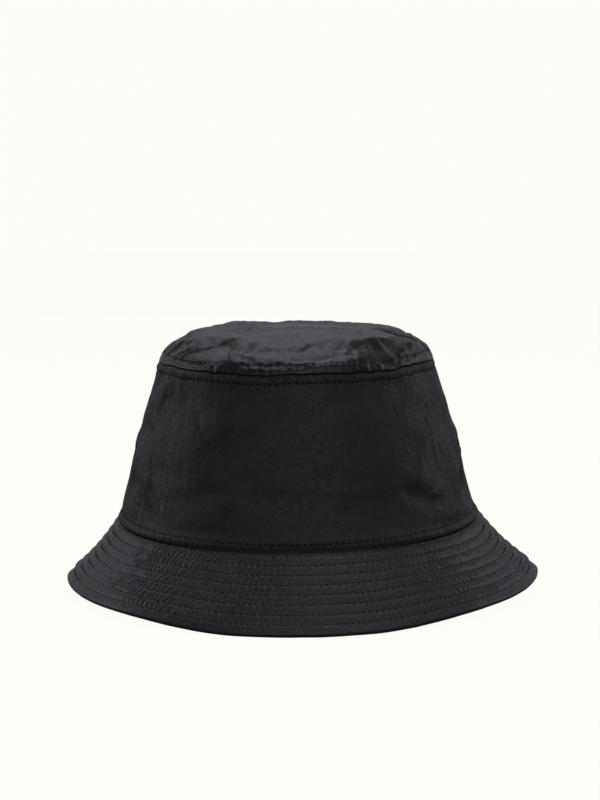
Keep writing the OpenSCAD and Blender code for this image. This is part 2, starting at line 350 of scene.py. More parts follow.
def spline_lookup(table, u, v):
    """Reads a table smoothly at rows u and columns v. Rows go round, and columns stop at the ends."""
    ui, vi = np.floor(u).astype(int), np.floor(v).astype(int)
    total = 0
    for du in (-1, 0, 1, 2):
        for dv in (-1, 0, 1, 2):
            weight = spline(u - ui - du) * spline(v - vi - dv)
            column = np.clip(vi + dv, 0, table.shape[1] - 1)
            total += weight * table[(ui + du) % table.shape[0], column]
    return total


def spline(x):
    x = np.abs(x)
    return np.where(x < 1, 2 / 3 - x * x + x**3 / 2, np.maximum(0, 2 - x) ** 3 / 6)


def quad_faces(rows, columns, ring=False):
    i, j = np.arange(rows if ring else rows - 1)[:, None], np.arange(columns - 1)[None, :]
    i2 = (i + 1) % rows
    low, high = i * columns + j, i2 * columns + j
    return stacked(low, high, high + 1, low + 1).reshape(-1, 4)


BAND_TURNS, BAND_ROWS = 270, 35
TIP_CELLS = 70


def drape_band():
    """How far the side band stands off its cone, by turn and height, once its cloth has settled."""
    turn = (np.arange(BAND_TURNS) * 360 / BAND_TURNS)[:, None]
    k = np.linspace(0, 1, BAND_ROWS)[None, :]
    w, d = mix(BASE_W, TIP_W, k), mix(BASE_D, TIP_D, k)
    rough = 1.2 * MM * ring_noise(turn, 0.022, k * 3, 90)

    def cone(out):
        x, y = oval(w, d, turn, out)
        return stacked(x, y, k * BAND_H)

    base = cone(0.0)
    number = np.arange(BAND_TURNS * BAND_ROWS).reshape(BAND_TURNS, BAND_ROWS)
    seams = number[np.isin(turn[:, 0], (90, 270))].ravel()
    held = np.concatenate([number[:, :2].ravel(), number[:, -2:].ravel(), seams])
    faces = quad_faces(BAND_TURNS, BAND_ROWS, ring=True)
    settled = drape(cone(rough).reshape(-1, 3), faces, held, 0.035, 0.08)
    return stand_off(settled, base, cone(1 * MM) - base)


def square_place(turn, r):
    """Where a point of the tip falls on the square sheet that is laid over it, from -1 to 1 each way."""
    a = np.radians((np.asarray(turn, float) + 45) % 360 - 45)
    quarter = np.floor((a + np.pi / 4) / (np.pi / 2)).astype(int) % 4
    swing = (a - quarter * np.pi / 2) / (np.pi / 4)
    u = np.choose(quarter, [r + 0 * a, -r * swing, -r + 0 * a, r * swing])
    v = np.choose(quarter, [r * swing, r + 0 * a, -r * swing, -r + 0 * a])
    return u, v


def drape_tip():
    """How far the tip stands off its dome once its cloth has settled, on a square sheet."""
    cells = np.linspace(-1, 1, TIP_CELLS + 1)
    u, v = np.meshgrid(cells, cells, indexing="ij")
    r = np.maximum(np.abs(u), np.abs(v))
    safe = np.where(r > 0, r, 1)
    upright = np.abs(u) >= np.abs(v)
    swing = np.where(upright, v / safe * np.sign(u), u / safe * np.sign(v))
    start = np.where(upright, np.where(u > 0, 0, 180), np.where(v > 0, 90, 270))
    side = np.where(upright, 1, -1)
    turn = start + side * swing * 45
    base = tip_point(turn, r, relief=False)
    out = tip_point(turn, r, 1 * MM, relief=False) - base
    rough = 1.5 * noise(base[..., 0] / 0.022, base[..., 1] / 0.022, 91)[..., None]
    number = np.arange(r.size).reshape(r.shape)
    held = number[r > 0.96]
    faces = quad_faces(TIP_CELLS + 1, TIP_CELLS + 1)
    settled = drape((base + out * rough).reshape(-1, 3), faces, held, 0.05, 0.06)
    return stand_off(settled, base, out)


# Folds of the side band: (turn, height) in degrees and millimetres at each end, then width and depth in
# millimetres. A negative depth is a valley.
FOLDS = [
    ((74, 77), (49, 45), 2.2, 0.9),
    ((49, 45), (42, 26), 2.4, 0.8),
    ((-78, 76), (-62, 52), 2.6, 0.8),
    ((-62, 52), (-58, 20), 3.0, 0.7),
    ((-42, 62), (-32, 44), 2.0, -0.55),
    ((-32, 44), (-22, 30), 2.0, -0.5),
    ((-70, 42), (-74, 8), 2.0, 0.6),
    ((-56, 24), (-50, 12), 2.2, -0.7),
    ((31, 72), (20, 44), 1.8, -0.35),
    ((14, 38), (3, 18), 3.0, -0.35),
    ((36, 22), (52, 14), 3.5, -0.7),
    ((38, 15), (56, 22), 2.2, 0.5),
    ((60, 50), (66, 12), 2.2, 0.6),
    ((72, 40), (76, 10), 1.8, 0.5),
    ((-88, 44), (-80, 30), 1.6, 0.6),
    ((84, 44), (79, 31), 1.6, 0.6),
    ((108, 70), (124, 40), 2.4, 0.8),
    ((124, 40), (118, 14), 2.2, 0.6),
    ((146, 62), (160, 30), 2.4, -0.6),
    ((178, 72), (192, 46), 2.4, 0.6),
    ((205, 50), (214, 18), 2.4, 0.7),
    ((232, 74), (244, 44), 2.2, 0.7),
    ((244, 44), (250, 16), 2.2, 0.6),
]


def fold_relief(turn, h):
    """The named folds, as ridges and valleys with a rounded crest that die away at their ends."""
    total = 0
    degree = BASE_W * np.pi / 180
    for (turn0, h0), (turn1, h1), width, depth in FOLDS:
        ax, ay = turn0 * degree, h0 * MM
        dx, dy = turn1 * degree - ax, h1 * MM - ay
        px, py = turn * degree - ax, h - ay
        length = math.hypot(dx, dy)
        along = (px * dx + py * dy) / length**2
        wobble = 1.2 * MM * noise(along * 3, depth, 3)
        across = (px * dy - py * dx) / length + wobble
        fade = smooth(along, -0.25, 0.2) * (1 - smooth(along, 0.8, 1.25))
        # 0.15 rounds the crest, and 0.39, which is about its root, brings the top back to 1
        crest = np.exp(0.39 - np.sqrt((across / (width * MM)) ** 2 + 0.15))
        total += 1.5 * depth * MM * fade * crest
    return total


def side_seam(turn, first, size):
    """Distance in metres from the nearer of two opposite side seams, on a ring of the given half width."""
    away = (turn - first + 90) % 180 - 90
    return np.radians(away) * size


band_table = stitch_table(lambda turn: stacked(*oval(BASE_W, BASE_D, turn), 0))
tip_table = stitch_table(lambda turn: stacked(*oval(TIP_W, TIP_D, turn), 0))


def seam_pucker(turn, away, table, seed):
    """Short gathers beside a sewn edge: one to each stitch or two, fading away from the seam."""
    place = stitch_place(table, turn)
    wander = 0.9 * ring_noise(turn, 0.014, away / 0.02, seed)
    gathers = np.abs(np.sin(np.pi * (0.5 * place + wander))) - 0.6
    strength = 0.55 + 0.45 * ring_noise(turn, 0.03, 0.5, seed + 1)
    return strength * gathers


def tip_gathers(turn, distance, seed):
    """The gathers at the tip seam, which fade with distance from it on both of its sides."""
    fade = bell(distance - 3.6 * MM, 4 * MM)
    return 0.55 * MM * seam_pucker(turn, distance, tip_table, seed) * fade


def band_relief(turn, h):
    """How far the side band stands out from its plain cone."""
    away = from_front(turn)
    side = smooth(np.abs(away), 38, 62)
    front = bell(away, FRONT_TURN)
    # The front is a little flatter than the oval, and turns a corner towards each side
    total = -0.7 * MM * bell(away, 30) + 0.9 * MM * bell(np.abs(away) - 52, 13) * smooth(h, 0, 0.03)
    total += fold_relief(turn, h)
    draped = spline_lookup(BAND_SHEET, turn / 360 * BAND_TURNS, h / BAND_H * (BAND_ROWS - 1))
    share = mix(0.35, 0.65, side) - 0.45 * bell(np.abs(away) - 90, 12)
    total += share * draped * smooth(h, 0, 8 * MM) * smooth(BAND_H - h, 0, 8 * MM)
    patches = 0.5 + 0.5 * ring_noise(turn, 0.03, h / 0.03, 6)
    total += 0.12 * MM * crease(ring_noise(turn, 0.0065, h / 0.0075, 4)) * patches
    # Upright streaks on the two sides, where the cloth hangs in fine pleats
    streaks = ring_noise(turn + 2.2 * ring_noise(turn, 0.02, h / 0.02, 9), 0.0045, h / 0.028, 8)
    total += 0.65 * MM * side * streaks
    # The side seams draw the cloth in
    seam = side_seam(turn, 90, BASE_W)
    total = mix(total, 0, bell(seam, 3 * MM)) - 0.7 * MM * bell(seam, 0.6 * MM)
    # Both ends turn in at a seam, and the allowance makes a low welt under the topstitching
    total += 0.45 * MM * seam_pucker(turn, h, band_table, 11) * bell(h - 2.6 * MM, 3.2 * MM)
    total += (1.0 + 0.7 * front) * MM * bell(h - (1.7 + 2.6 * front) * MM, 2.4 * MM)
    dips = 0.2 * MM + needle_dips(band_table, turn)
    total -= dips * bell(h - TOPSTITCH_OFF, DIP_ACROSS)
    top = BAND_H - h
    dips = 0.15 * MM + needle_dips(tip_table, turn)
    total += 0.2 * MM * bell(top - 2.0 * MM, 1.7 * MM)
    total += tip_gathers(turn, top, 12)
    total -= dips * bell(top - TOPSTITCH_OFF, DIP_ACROSS)
    total = np.maximum(total, DEEPEST)
    total = mix(-0.5 * MM, total, smooth(top, 0, 0.7 * MM))
    return mix((1.1 * front - 1.0) * MM, total, smooth(h, 0, 0.9 * MM))


def tip_wave(turn):
    """The tip seam isn't level: it sags at the front, and short puckers ride on its slow waves."""
    sag = -1.6 * MM * bell(from_front(turn), 60)
    return sag + 0.8 * MM * ring_noise(turn, 0.03, 0.5, 20) + 0.45 * MM * ring_noise(turn, 0.007, 0.5, 21)


def band_point(turn, h, off=0.0, relief=True):
    """A point on the outer face of the side band, or off metres outside it."""
    turn, h = np.broadcast_arrays(np.asarray(turn, float), np.asarray(h, float))
    k = h / BAND_H
    if relief:
        off = off + band_relief(turn, h)
    x, y = oval(mix(BASE_W, TIP_W, k), mix(BASE_D, TIP_D, k), turn, off)
    z = SEAM_Z + h + tip_wave(turn) * smooth(k, 0.6, 1.0)
    if relief:
        # At the front the crown's lower end sags a little over the brim's first stitch row
        z = z - 1.8 * MM * bell(from_front(turn), FRONT_TURN) * (1 - smooth(h, 0, 9 * MM))
    return stacked(x, y, z)


def tip_point(turn, r, off=0.0, relief=True):
    """A point on the outer face of the tip, where r runs from 0 at its top to 1 at the tip seam."""
    turn, r = np.broadcast_arrays(np.asarray(turn, float), np.asarray(r, float))
    rise = r * np.pi / 2
    a = np.radians(turn)
    sx, sy = np.sin(rise) * np.sin(a), -np.sin(rise) * np.cos(a)
    x, y, z = TIP_W * sx, TIP_D * sy, TIP_Z + TIP_RISE * np.cos(rise)
    if relief:
        arc = (1 - r) * TIP_ARC
        u, v = square_place(turn, r)
        bumps = 1.05 * spline_lookup(TIP_SHEET, (u + 1) / 2 * TIP_CELLS, (v + 1) / 2 * TIP_CELLS)
        bumps -= 2.4 * MM * smooth(arc, 3 * MM, 18 * MM)
        warp_x, warp_y = 0.5 * noise(x / 0.02, y / 0.02, 31), 0.5 * noise(x / 0.02, y / 0.02, 36)
        bumps += 0.5 * MM * crease(noise(x / 0.013 + warp_x, y / 0.016 + warp_y, 33))
        bumps += 0.32 * MM * crease(noise(x / 0.0075 - warp_y, y / 0.009 + warp_x, 37))
        bumps += 0.12 * MM * crease(noise(x / 0.005, y / 0.006, 34))
        away = from_front(turn)
        bumps -= 1.2 * MM * bell(away + 6, 22) * bell(arc - 8 * MM, 3.5 * MM)
        dips = 0.12 * MM + needle_dips(tip_table, turn)
        bumps = bumps * smooth(arc, 0, 0.006)
        bumps += tip_gathers(turn, arc, 35)
        bumps -= dips * bell(arc - TOPSTITCH_OFF, DIP_ACROSS)
        bumps = np.maximum(bumps, DEEPEST)
        off = off + mix(-0.35 * MM, bumps, smooth(arc, 0, 0.5 * MM))
    nx, ny, nz = sx / TIP_W, sy / TIP_D, np.cos(rise) / TIP_RISE
    length = np.sqrt(nx * nx + ny * ny + nz * nz)
    z = z + tip_wave(turn) * smooth(r, 0.5, 1.0) + off * nz / length
    return np.stack([x + off * nx / length, y + off * ny / length, z], axis=-1)


BAND_SHEET = drape_band()
TIP_SHEET = drape_tip()


def brim_slant(turn):
    """The brim's reach, fall and slant: flat on the ground at the front and back, and lifted at the sides."""
    lift = smooth(np.abs(np.sin(np.radians(turn))), FLAT_SHARE, LIFTED_SHARE)
    reach = mix(FRONT_REACH, SIDE_REACH, lift)
    fall = mix(FRONT_FALL, SIDE_FALL, lift)
    return reach, fall, np.hypot(reach, fall)


def brim_point(turn, along, up, clear_floor=False):
    """A point on the brim: along metres down its slant from the seam, and up metres square to it."""
    turn, along, up = np.broadcast_arrays(*(np.asarray(v, float) for v in (turn, along, up)))
    reach, fall, slant = brim_slant(turn)
    share = np.clip(along / slant, 0, 1)
    # Towards the sides the brim sags between its seam and its edge, and behind them it droops
    away = np.abs(from_front(turn))
    up = up - 1.7 * MM * np.sin(np.pi * share) * smooth(np.abs(np.sin(np.radians(turn))), 0.6, 1.0)
    up = up - 4.2 * MM * share * smooth(away, 82, 104) * (1 - smooth(away, 130, 160))
    x, y = oval(BASE_W, BASE_D, turn, (along * reach + up * fall) / slant)
    x = x + 1.8 * MM * share
    z = SEAM_Z - LAYER_GAP + (up * reach - along * fall) / slant
    if clear_floor:
        z = np.maximum(z, 0.02 * MM)
    return np.stack([x, y, z], axis=-1)


ROW_TABLES = [
    stitch_table(lambda turn, u=u: brim_point(turn, u * brim_slant(turn)[2], 0)) for u in ROW_MARKS
]


def gather_strength(turn, channel, seed):
    """How strongly the stitch rows gather the cloth between them, in metres, round the brim."""
    away = from_front(turn)
    left = smooth(-away, 4, 24) * (1 - smooth(-away, 50, 60))
    right = smooth(away, 18, 45) * (1 - smooth(away, 95, 120))
    rear = smooth(np.abs(away), 80, 110)
    patches = 1 + 0.5 * ring_noise(turn, 0.03, channel * 0.9, seed)
    patches += 0.4 * ring_noise(turn, 0.007, channel * 1.9, seed + 6)
    return (0.07 + 0.6 * left + 0.38 * right + 0.35 * rear) * MM * patches


def channel_height(turn, channel, k, seed, height):
    """The padding between two stitch rows, k of the way across, with the gathers that the rows make."""
    away = from_front(turn)
    hump = max(0.0, math.sin(math.pi * k)) ** mix(0.6, 1.3, smooth(np.abs(away), 66, 84))
    place = stitch_place(ROW_TABLES[channel], turn)
    slope = mix(0.9, -1.3, smooth(away, -20, 25))
    wander = 0.7 * ring_noise(turn, 0.009, channel * 1.37 + 0.8 * k, seed + 1)
    gathers = np.abs(np.sin(np.pi * (place + slope * (k - 0.5) + wander))) ** 0.8 - 0.65
    fine = 0.35 * ring_noise(turn + 2 * k, 0.0022, channel * 2.3 + 2 * k, seed + 4)
    ends = 2.4 * smooth(np.abs(away), 66, 82) - 0.8 * bell(away, 34)
    puff = height * (1 + 0.25 * ring_noise(turn, 0.022, channel * 1.3, seed + 3) + ends)
    return hump * (puff + gather_strength(turn, channel, seed + 2) * (gathers + fine))


def row_dips(turn, row):
    """The cloth sinks at a stitch row, and further at each needle hole."""
    away = from_front(turn)
    sink = ROW_SINK * (0.15 + 0.6 * smooth(np.abs(away), 15, 40) + 4.5 * smooth(np.abs(away), 62, 80))
    return -sink - needle_dips(ROW_TABLES[row], turn)


def brim_seam_pull(turn):
    """The brim's two side seams pinch the channels."""
    away = side_seam(turn, 90 + BRIM_SEAM_TURN, BASE_W + SIDE_REACH / 2)
    return 0.2 * MM * bell(np.abs(away) - 2.4 * MM, 1.2 * MM) - 0.4 * MM * bell(away, 0.6 * MM)


# ---------------------------------------------------------------- mesh builders
def new_mesh(name, points, face_groups, uv=None, materials=None, weld=False):
    """A smooth-shaded mesh object. Each group holds faces with the same number of corners, and a material."""
    loops = np.concatenate([group.ravel() for group in face_groups]).astype(np.int32)
    sizes = np.concatenate([np.full(len(group), group.shape[1]) for group in face_groups])
    starts = np.concatenate([[0], np.cumsum(sizes)[:-1]]).astype(np.int32)
    mesh = bpy.data.meshes.new(name)
    mesh.vertices.add(len(points))
    mesh.vertices.foreach_set("co", np.ascontiguousarray(points, np.float32).ravel())
    mesh.loops.add(len(loops))
    mesh.loops.foreach_set("vertex_index", loops)
    mesh.polygons.add(len(sizes))
    mesh.polygons.foreach_set("loop_start", starts)
    mesh.polygons.foreach_set("use_smooth", np.ones(len(sizes), bool))
    if materials is not None:
        slots = np.concatenate([np.full(len(g), m) for g, m in zip(face_groups, materials)])
        mesh.polygons.foreach_set("material_index", slots.astype(np.int32))
    mesh.update(calc_edges=True)
    if uv is not None:
        layer = mesh.uv_layers.new(name="cloth")
        layer.data.foreach_set("uv", np.ascontiguousarray(uv[loops], np.float32).ravel())
    if weld:
        body = bmesh.new()
        body.from_mesh(mesh)
        bmesh.ops.remove_doubles(body, verts=body.verts, dist=1e-7)
        body.to_mesh(mesh)
        body.free()
    mesh.validate()
    obj = bpy.data.objects.new(name, mesh)
    bpy.context.scene.collection.objects.link(obj)
    return obj


def swept_mesh(name, rows, uv, ring=False):
    """A closed solid from sections shaped (sections, points, 3), each a loop round both faces.

    A ring's last section repeats its first, and the two are welded.
    """
    n, m, _ = rows.shape
    i, j = np.arange(n - 1)[:, None], np.arange(m)[None, :]
    j2 = (j + 1) % m
    quads = stacked(i * m + j, i * m + j2, (i + 1) * m + j2, (i + 1) * m + j)
    groups = [quads.reshape(-1, 4)]
    if not ring:
        loop = np.arange(m)
        groups.append(np.stack([loop[::-1], loop + (n - 1) * m]))
    return new_mesh(name, rows.reshape(-1, 3), groups, uv.reshape(-1, 2), weld=ring)


def tubes(centres, normals, radii, sides=6):
    """Points and faces of closed tubes, whose centres are shaped (tubes, rings, 3)."""
    n, k, _ = centres.shape
    tangent = unit(np.gradient(centres, axis=1))
    side = unit(np.cross(tangent, normals))
    up = np.cross(side, tangent)
    wheel = circle(np.arange(sides) * 2 * np.pi / sides, up[:, :, None], side[:, :, None])
    points = centres[:, :, None] + np.asarray(radii)[..., None, None] * wheel
    base = (np.arange(n) * k * sides)[:, None, None]
    r, s = np.arange(k - 1)[None, :, None], np.arange(sides)[None, None, :]
    s2 = (s + 1) % sides
    low, high = base + r * sides, base + (r + 1) * sides
    quads = stacked(low + s, high + s, high + s2, low + s2).reshape(-1, 4)
    start = base[:, 0] + np.arange(sides)
    finish = base[:, 0] + (k - 1) * sides + np.arange(sides)[::-1]
    return points.reshape(-1, 3), quads, np.concatenate([start, finish])


def gather_parts(name, parts):
    """One mesh from several (points, quads, caps, material) parts."""
    points, groups, materials, first = [], [], [], 0
    for part_points, quads, caps, material in parts:
        points.append(part_points)
        groups += [quads + first, caps + first]
        materials += [material, material]
        first += len(part_points)
    return new_mesh(name, np.concatenate(points), groups, materials=materials)


# Along one stitch: how far it has gone, and how high it stands over the cloth
STITCH_RUN = np.array([0.03, 0.07, 0.18, 0.5, 0.82, 0.93, 0.97])
STITCH_RISE = np.array([-0.30, -0.14, -0.03, 0.0, -0.03, -0.14, -0.30]) * MM
# A near-black bead of painted shade in each needle hole: the height and radius of its three rings
SHADE_BEAD_RISE = np.array([-0.25, 0.14, 0.2]) * MM
SHADE_BEAD_R = np.array([0.6, 1, 0.7]) * HOLE_R


def stitches(point_at, table):
    """Single stitches along a row, with a near-black bead between each two that paints the shade of the
    needle hole.

    point_at gives the point at a turn, some metres off the cloth.
    """
    turns, places, count = table
    first = np.arange(float(count))
    place = first[:, None] + STITCH_RUN
    turn = np.interp(place, places, turns)
    centres = point_at(turn, np.broadcast_to(STITCH_RISE, turn.shape))
    normals = point_at(turn, 1 * MM) - point_at(turn, 0 * MM)
    thread = tubes(centres, normals, np.full(turn.shape, THREAD_R))
    at = np.interp(first, places, turns)
    middle = point_at(at, 0 * MM)
    up = unit(point_at(at, 1 * MM) - middle)
    # Painted shade: a near-black bead in each needle hole stands for the shade inside it
    pit = middle[:, None] + SHADE_BEAD_RISE[:, None] * up[:, None]
    ahead = point_at(at + 0.1, 0 * MM) - middle
    shade_beads = tubes(pit, np.repeat(ahead[:, None], len(SHADE_BEAD_RISE), axis=1), SHADE_BEAD_R, sides=8)
    return [(*thread, 0), (*shade_beads, 1)]


# ---------------------------------------------------------------- materials
def node(tree, kind, inputs=None, **settings):
    made = tree.nodes.new("ShaderNode" + kind)
    for key, value in settings.items():
        setattr(made, key, value)
    for key, value in (inputs or {}).items():
        if isinstance(value, bpy.types.NodeSocket):
            tree.links.new(value, made.inputs[key])
        else:
            made.inputs[key].default_value = value
    return made


def maths(tree, operation, *values):
    made = tree.nodes.new("ShaderNodeMath")
    made.operation = operation
    for socket, value in zip(made.inputs, values):
        if isinstance(value, bpy.types.NodeSocket):
            tree.links.new(value, socket)
        else:
            socket.default_value = value
    return made.outputs[0]


def plus(tree, height, value, amount):
    return maths(tree, "ADD", height, maths(tree, "MULTIPLY", value, amount))


def span(tree, value, low, high, to_low=0.0, to_high=1.0):
    inputs = {"Value": value, "From Min": low, "From Max": high, "To Min": to_low, "To Max": to_high}
    return node(tree, "MapRange", inputs, interpolation_type="SMOOTHSTEP").outputs["Result"]


def cloth_mm(tree):
    """The cloth's own coordinates, in millimetres along its weft and warp."""
    place = node(tree, "UVMap", uv_map="cloth").outputs["UV"]
    return node(tree, "VectorMath", {0: place, "Scale": 1000}, operation="SCALE").outputs[0]


def stretched(tree, place, x, y):
    return node(tree, "VectorMath", {0: place, 1: (x, y, 1)}, operation="MULTIPLY").outputs[0]


def ridges(tree, place, pitch, direction):
    """Parallel ridges pitch millimetres apart. A wave texture repeats 20 / (2 pi) times for each unit."""
    waves = {"Vector": place, "Scale": 2 * math.pi / (20 * pitch)}
    return node(tree, "TexWave", waves, bands_direction=direction).outputs["Fac"]


def weave(tree, place, pitch):
    """A plain weave's height, with threads pitch millimetres apart."""
    return maths(tree, "MAXIMUM", ridges(tree, place, pitch, "X"), ridges(tree, place, pitch, "Y"))


def spots(tree, place, scale, detail, roughness=0.5):
    inputs = {"Vector": place, "Scale": scale, "Detail": detail, "Roughness": roughness}
    return node(tree, "TexNoise", inputs).outputs["Fac"]


def tinted(tree, shader, color, tone):
    """Base colour multiplied by a tone that varies over the cloth."""
    shade = node(tree, "CombineColor", {"Red": tone, "Green": tone, "Blue": tone}).outputs["Color"]
    base = node(tree, "Mix", {6: (*color, 1), 7: shade}, data_type="RGBA", blend_type="MULTIPLY")
    base.inputs["Factor"].default_value = 1
    tree.links.new(base.outputs[2], shader.inputs["Base Color"])


def bumped(tree, shader, height, strength=1.0, depth=MM):
    bump = node(tree, "Bump", {"Height": height, "Distance": depth, "Strength": strength})
    tree.links.new(bump.outputs["Normal"], shader.inputs["Normal"])


def nylon(name, color, roughness, specular, crinkle_and_shade_amount, crumple):
    """Thin crinkled nylon: plain weave, small sharp crinkle creases whose shade is painted darker into the
    colour, fine crumples and patchy gloss.
    """
    material, tree, shader = new_material(name, color, roughness, specular)
    place = cloth_mm(tree)
    patch = spots(tree, place, 0.055, 2.0)
    lines = spots(tree, stretched(tree, place, 0.13, 0.6), 1.0, 3.0)
    near_line = maths(tree, "ABSOLUTE", maths(tree, "SUBTRACT", lines, 0.5))
    line = span(tree, near_line, 0.0, 0.018, 1.0, 0.0)
    broken = spots(tree, place, 0.3, 1.0)
    region = maths(tree, "MULTIPLY", span(tree, patch, 0.36, 0.56), span(tree, broken, 0.53, 0.6))
    # The crinkle creases: they groove the bump, and also carry painted shade in the colour below
    marks = maths(tree, "MULTIPLY", maths(tree, "MULTIPLY", line, region), crinkle_and_shade_amount)
    fine = spots(tree, place, 0.55, 4.0, 0.6)
    cells = {"Vector": place, "Scale": 0.32, "Randomness": 1.0}
    facets = node(tree, "TexVoronoi", cells, feature="SMOOTH_F1").outputs["Distance"]
    height = maths(tree, "MULTIPLY", fine, 0.16 * crumple)
    height = plus(tree, height, facets, 0.10 * crumple)
    height = plus(tree, height, marks, -0.16)
    height = plus(tree, height, weave(tree, place, 0.3), 0.006)
    bumped(tree, shader, height)
    tone = span(tree, patch, 0.3, 0.7, 0.86, 1.12)
    # Painted shade: the colour is up to 45 % darker along the crinkle creases, where shade falls
    tone = maths(tree, "MULTIPLY", tone, plus(tree, 1.0, marks, -0.45))
    tinted(tree, shader, color, tone)
    gloss = span(tree, fine, 0.3, 0.7, roughness - 0.07, roughness + 0.1)
    tree.links.new(gloss, shader.inputs["Roughness"])
    return material


def woven(name, color, roughness, pitch, depth, ribs=0.0):
    """Any plainer cloth: a visible weave or rib, with slight unevenness."""
    material, tree, shader = new_material(name, color, roughness, 0.35, 0.1)
    place = cloth_mm(tree)
    uneven = spots(tree, place, 0.12, 3.0)
    height = maths(tree, "MULTIPLY", weave(tree, place, pitch), depth)
    if ribs:
        height = plus(tree, height, ridges(tree, place, ribs, "X"), 2 * depth)
    bumped(tree, shader, height, 0.8)
    tinted(tree, shader, color, span(tree, uneven, 0.3, 0.7, 0.88, 1.1))
    gloss = span(tree, uneven, 0.3, 0.7, roughness - 0.06, roughness + 0.06)
    tree.links.new(gloss, shader.inputs["Roughness"])
    return material


def yarn(name, color, roughness):
    """Spun thread, whose fibres make fine slanting ridges."""
    material, tree, shader = new_material(name, color, roughness, 0.2)
    place = node(tree, "TexCoord").outputs["Object"]
    fibres = spots(tree, place, 6000.0, 2.0)
    bumped(tree, shader, fibres, depth=0.04 * MM)
    tinted(tree, shader, color, span(tree, fibres, 0.3, 0.7, 0.8, 1.2))
    return material


# The same nylon in crown, tip and brim. Their base colours differ only as painted light and shade: the
# crown's is lighter and the tip's darker than the brim's, to match how bright each part looks under the
# light.
SHELL = nylon("crown_nylon_painted_lighter", (0.0205, 0.0210, 0.0235), 0.55, 0.22, 1.0, 1.5)
TIP_SHELL = nylon("tip_nylon_painted_darker", (0.0105, 0.0108, 0.0122), 0.34, 0.28, 0.7, 1.4)
BRIM_SHELL = nylon("brim_nylon", (0.0170, 0.0175, 0.0198), 0.44, 0.42, 0.4, 1.1)
LINING = woven("lining_taffeta", (0.018, 0.018, 0.020), 0.42, 0.35, 0.01)
SWEATBAND = woven("sweatband_twill", (0.012, 0.012, 0.013), 0.8, 0.6, 0.04, ribs=1.1)
WADDING = woven("interlining_nonwoven", (0.55, 0.55, 0.53), 0.9, 1.3, 0.08)
LABEL = woven("label_satin", (0.70, 0.70, 0.68), 0.38, 0.25, 0.02, ribs=0.5)
THREAD = yarn("thread", (0.018, 0.0185, 0.021), 0.75)
LABEL_THREAD = yarn("label_thread", (0.6, 0.6, 0.58), 0.6)
# Near-black and matte: painted shade for the inside of a needle hole, on the beads that stitches() lays there
HOLE_SHADE_PAINT = new_material("needle_hole_painted_shade", (0.0015, 0.0015, 0.0015), 0.9, 0.0)[0]


def finish_piece(obj, materials, node_name, body="hat"):
    """Gives a piece its materials, hangs it on the empty of the body it rides on, and hides the CAD node it
    stands for.
    """
    for material in materials:
        obj.data.materials.append(material)
    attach(obj, body)
    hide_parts(node_name)


# ---------------------------------------------------------------- crown
def turn_columns(turn_low, turn_high, per_degree=COLUMNS_PER_DEGREE):
    return np.linspace(turn_low, turn_high, round((turn_high - turn_low) * per_degree) + 1)


def fine_ends(length, ends, fine, coarse):
    """Places from length down to 0, with fine steps near both ends and coarse ones between them."""
    inner = np.linspace(ends, length - ends, round((length - 2 * ends) / coarse) + 1)
    end = np.linspace(0, ends, round(ends / fine) + 1)[:-1]
    return np.concatenate([length - end, inner[::-1], end[::-1]])


def band_panel(name, turn_low, turn_high):
    turn = turn_columns(turn_low, turn_high)[:, None]
    outer_h = fine_ends(BAND_H, 9 * MM, 0.42 * MM, 1.1 * MM)
    inner_h = np.linspace(0.4 * MM, BAND_H - 0.4 * MM, 14)
    outer = band_point(turn, outer_h)
    inner = band_point(turn, inner_h, -CLOTH_INSET, relief=False)
    rows = np.concatenate([outer, inner], axis=1)
    h = np.concatenate([outer_h, inner_h])
    u = np.radians(turn) * (BASE_W + TIP_W) / 2
    uv = stacked(u, h[None, :] + 0.2)
    panel = swept_mesh(name + "_cloth", rows, uv)
    for place in EYELETS.values():
        for lap in (0, 360):
            if turn_low <= place + lap <= turn_high:
                punch(panel, place + lap)
    finish_piece(panel, [SHELL], name)


def eyelet_frame(turn):
    """The middle of an eyelet, its outward normal and two directions in its plane."""
    middle = band_point(turn, EYELET_H)
    low, plain, high = (band_point(turn, EYELET_H + step * MM, relief=False) for step in (-5, 0, 5))
    out = band_point(turn, EYELET_H, 5 * MM, relief=False) - plain
    rise = unit(high - low)
    across = unit(np.cross(rise, out))
    return middle, np.cross(across, rise), across, rise


def punch(panel, turn):
    """Cuts an eyelet's hole through a panel."""
    middle, out, across, rise = eyelet_frame(turn)
    sides = 24
    i = np.arange(sides)
    i2 = (i + 1) % sides
    ends = np.array([-6 * MM, 4 * MM])[:, None, None] * out
    points = middle + ends + EYELET_HOLE_R * circle(i * 2 * np.pi / sides, across, rise)
    quads = stacked(i, i2, i2 + sides, i + sides)
    cutter = new_mesh("cutter", points.reshape(-1, 3), [quads, np.stack([i[::-1], i + sides])])
    cut = panel.modifiers.new("hole", "BOOLEAN")
    cut.operation, cut.object, cut.solver = "DIFFERENCE", cutter, "EXACT"
    apply_modifiers(panel)
    bpy.data.objects.remove(cutter)


def apply_modifiers(obj):
    graph = bpy.context.evaluated_depsgraph_get()
    mesh = bpy.data.meshes.new_from_object(obj.evaluated_get(graph))
    old = obj.data
    obj.modifiers.clear()
    obj.data = mesh
    bpy.data.meshes.remove(old)


def crown_tip():
    turn = turn_columns(-180, 180, 1.7)[:, None]
    outer_r = np.concatenate([np.linspace(0, 0.62, 60)[:-1], np.linspace(0.62, 1, 38)])
    inner_r = np.linspace(0.985, 0, 12)
    outer = tip_point(turn, outer_r)
    inner = tip_point(turn, inner_r, -CLOTH_INSET, relief=False)
    rows = np.concatenate([outer, inner], axis=1)
    tip = swept_mesh("crown_tip_cloth", rows, rows[..., :2] + 0.5, ring=True)
    finish_piece(tip, [TIP_SHELL], "crown_tip")


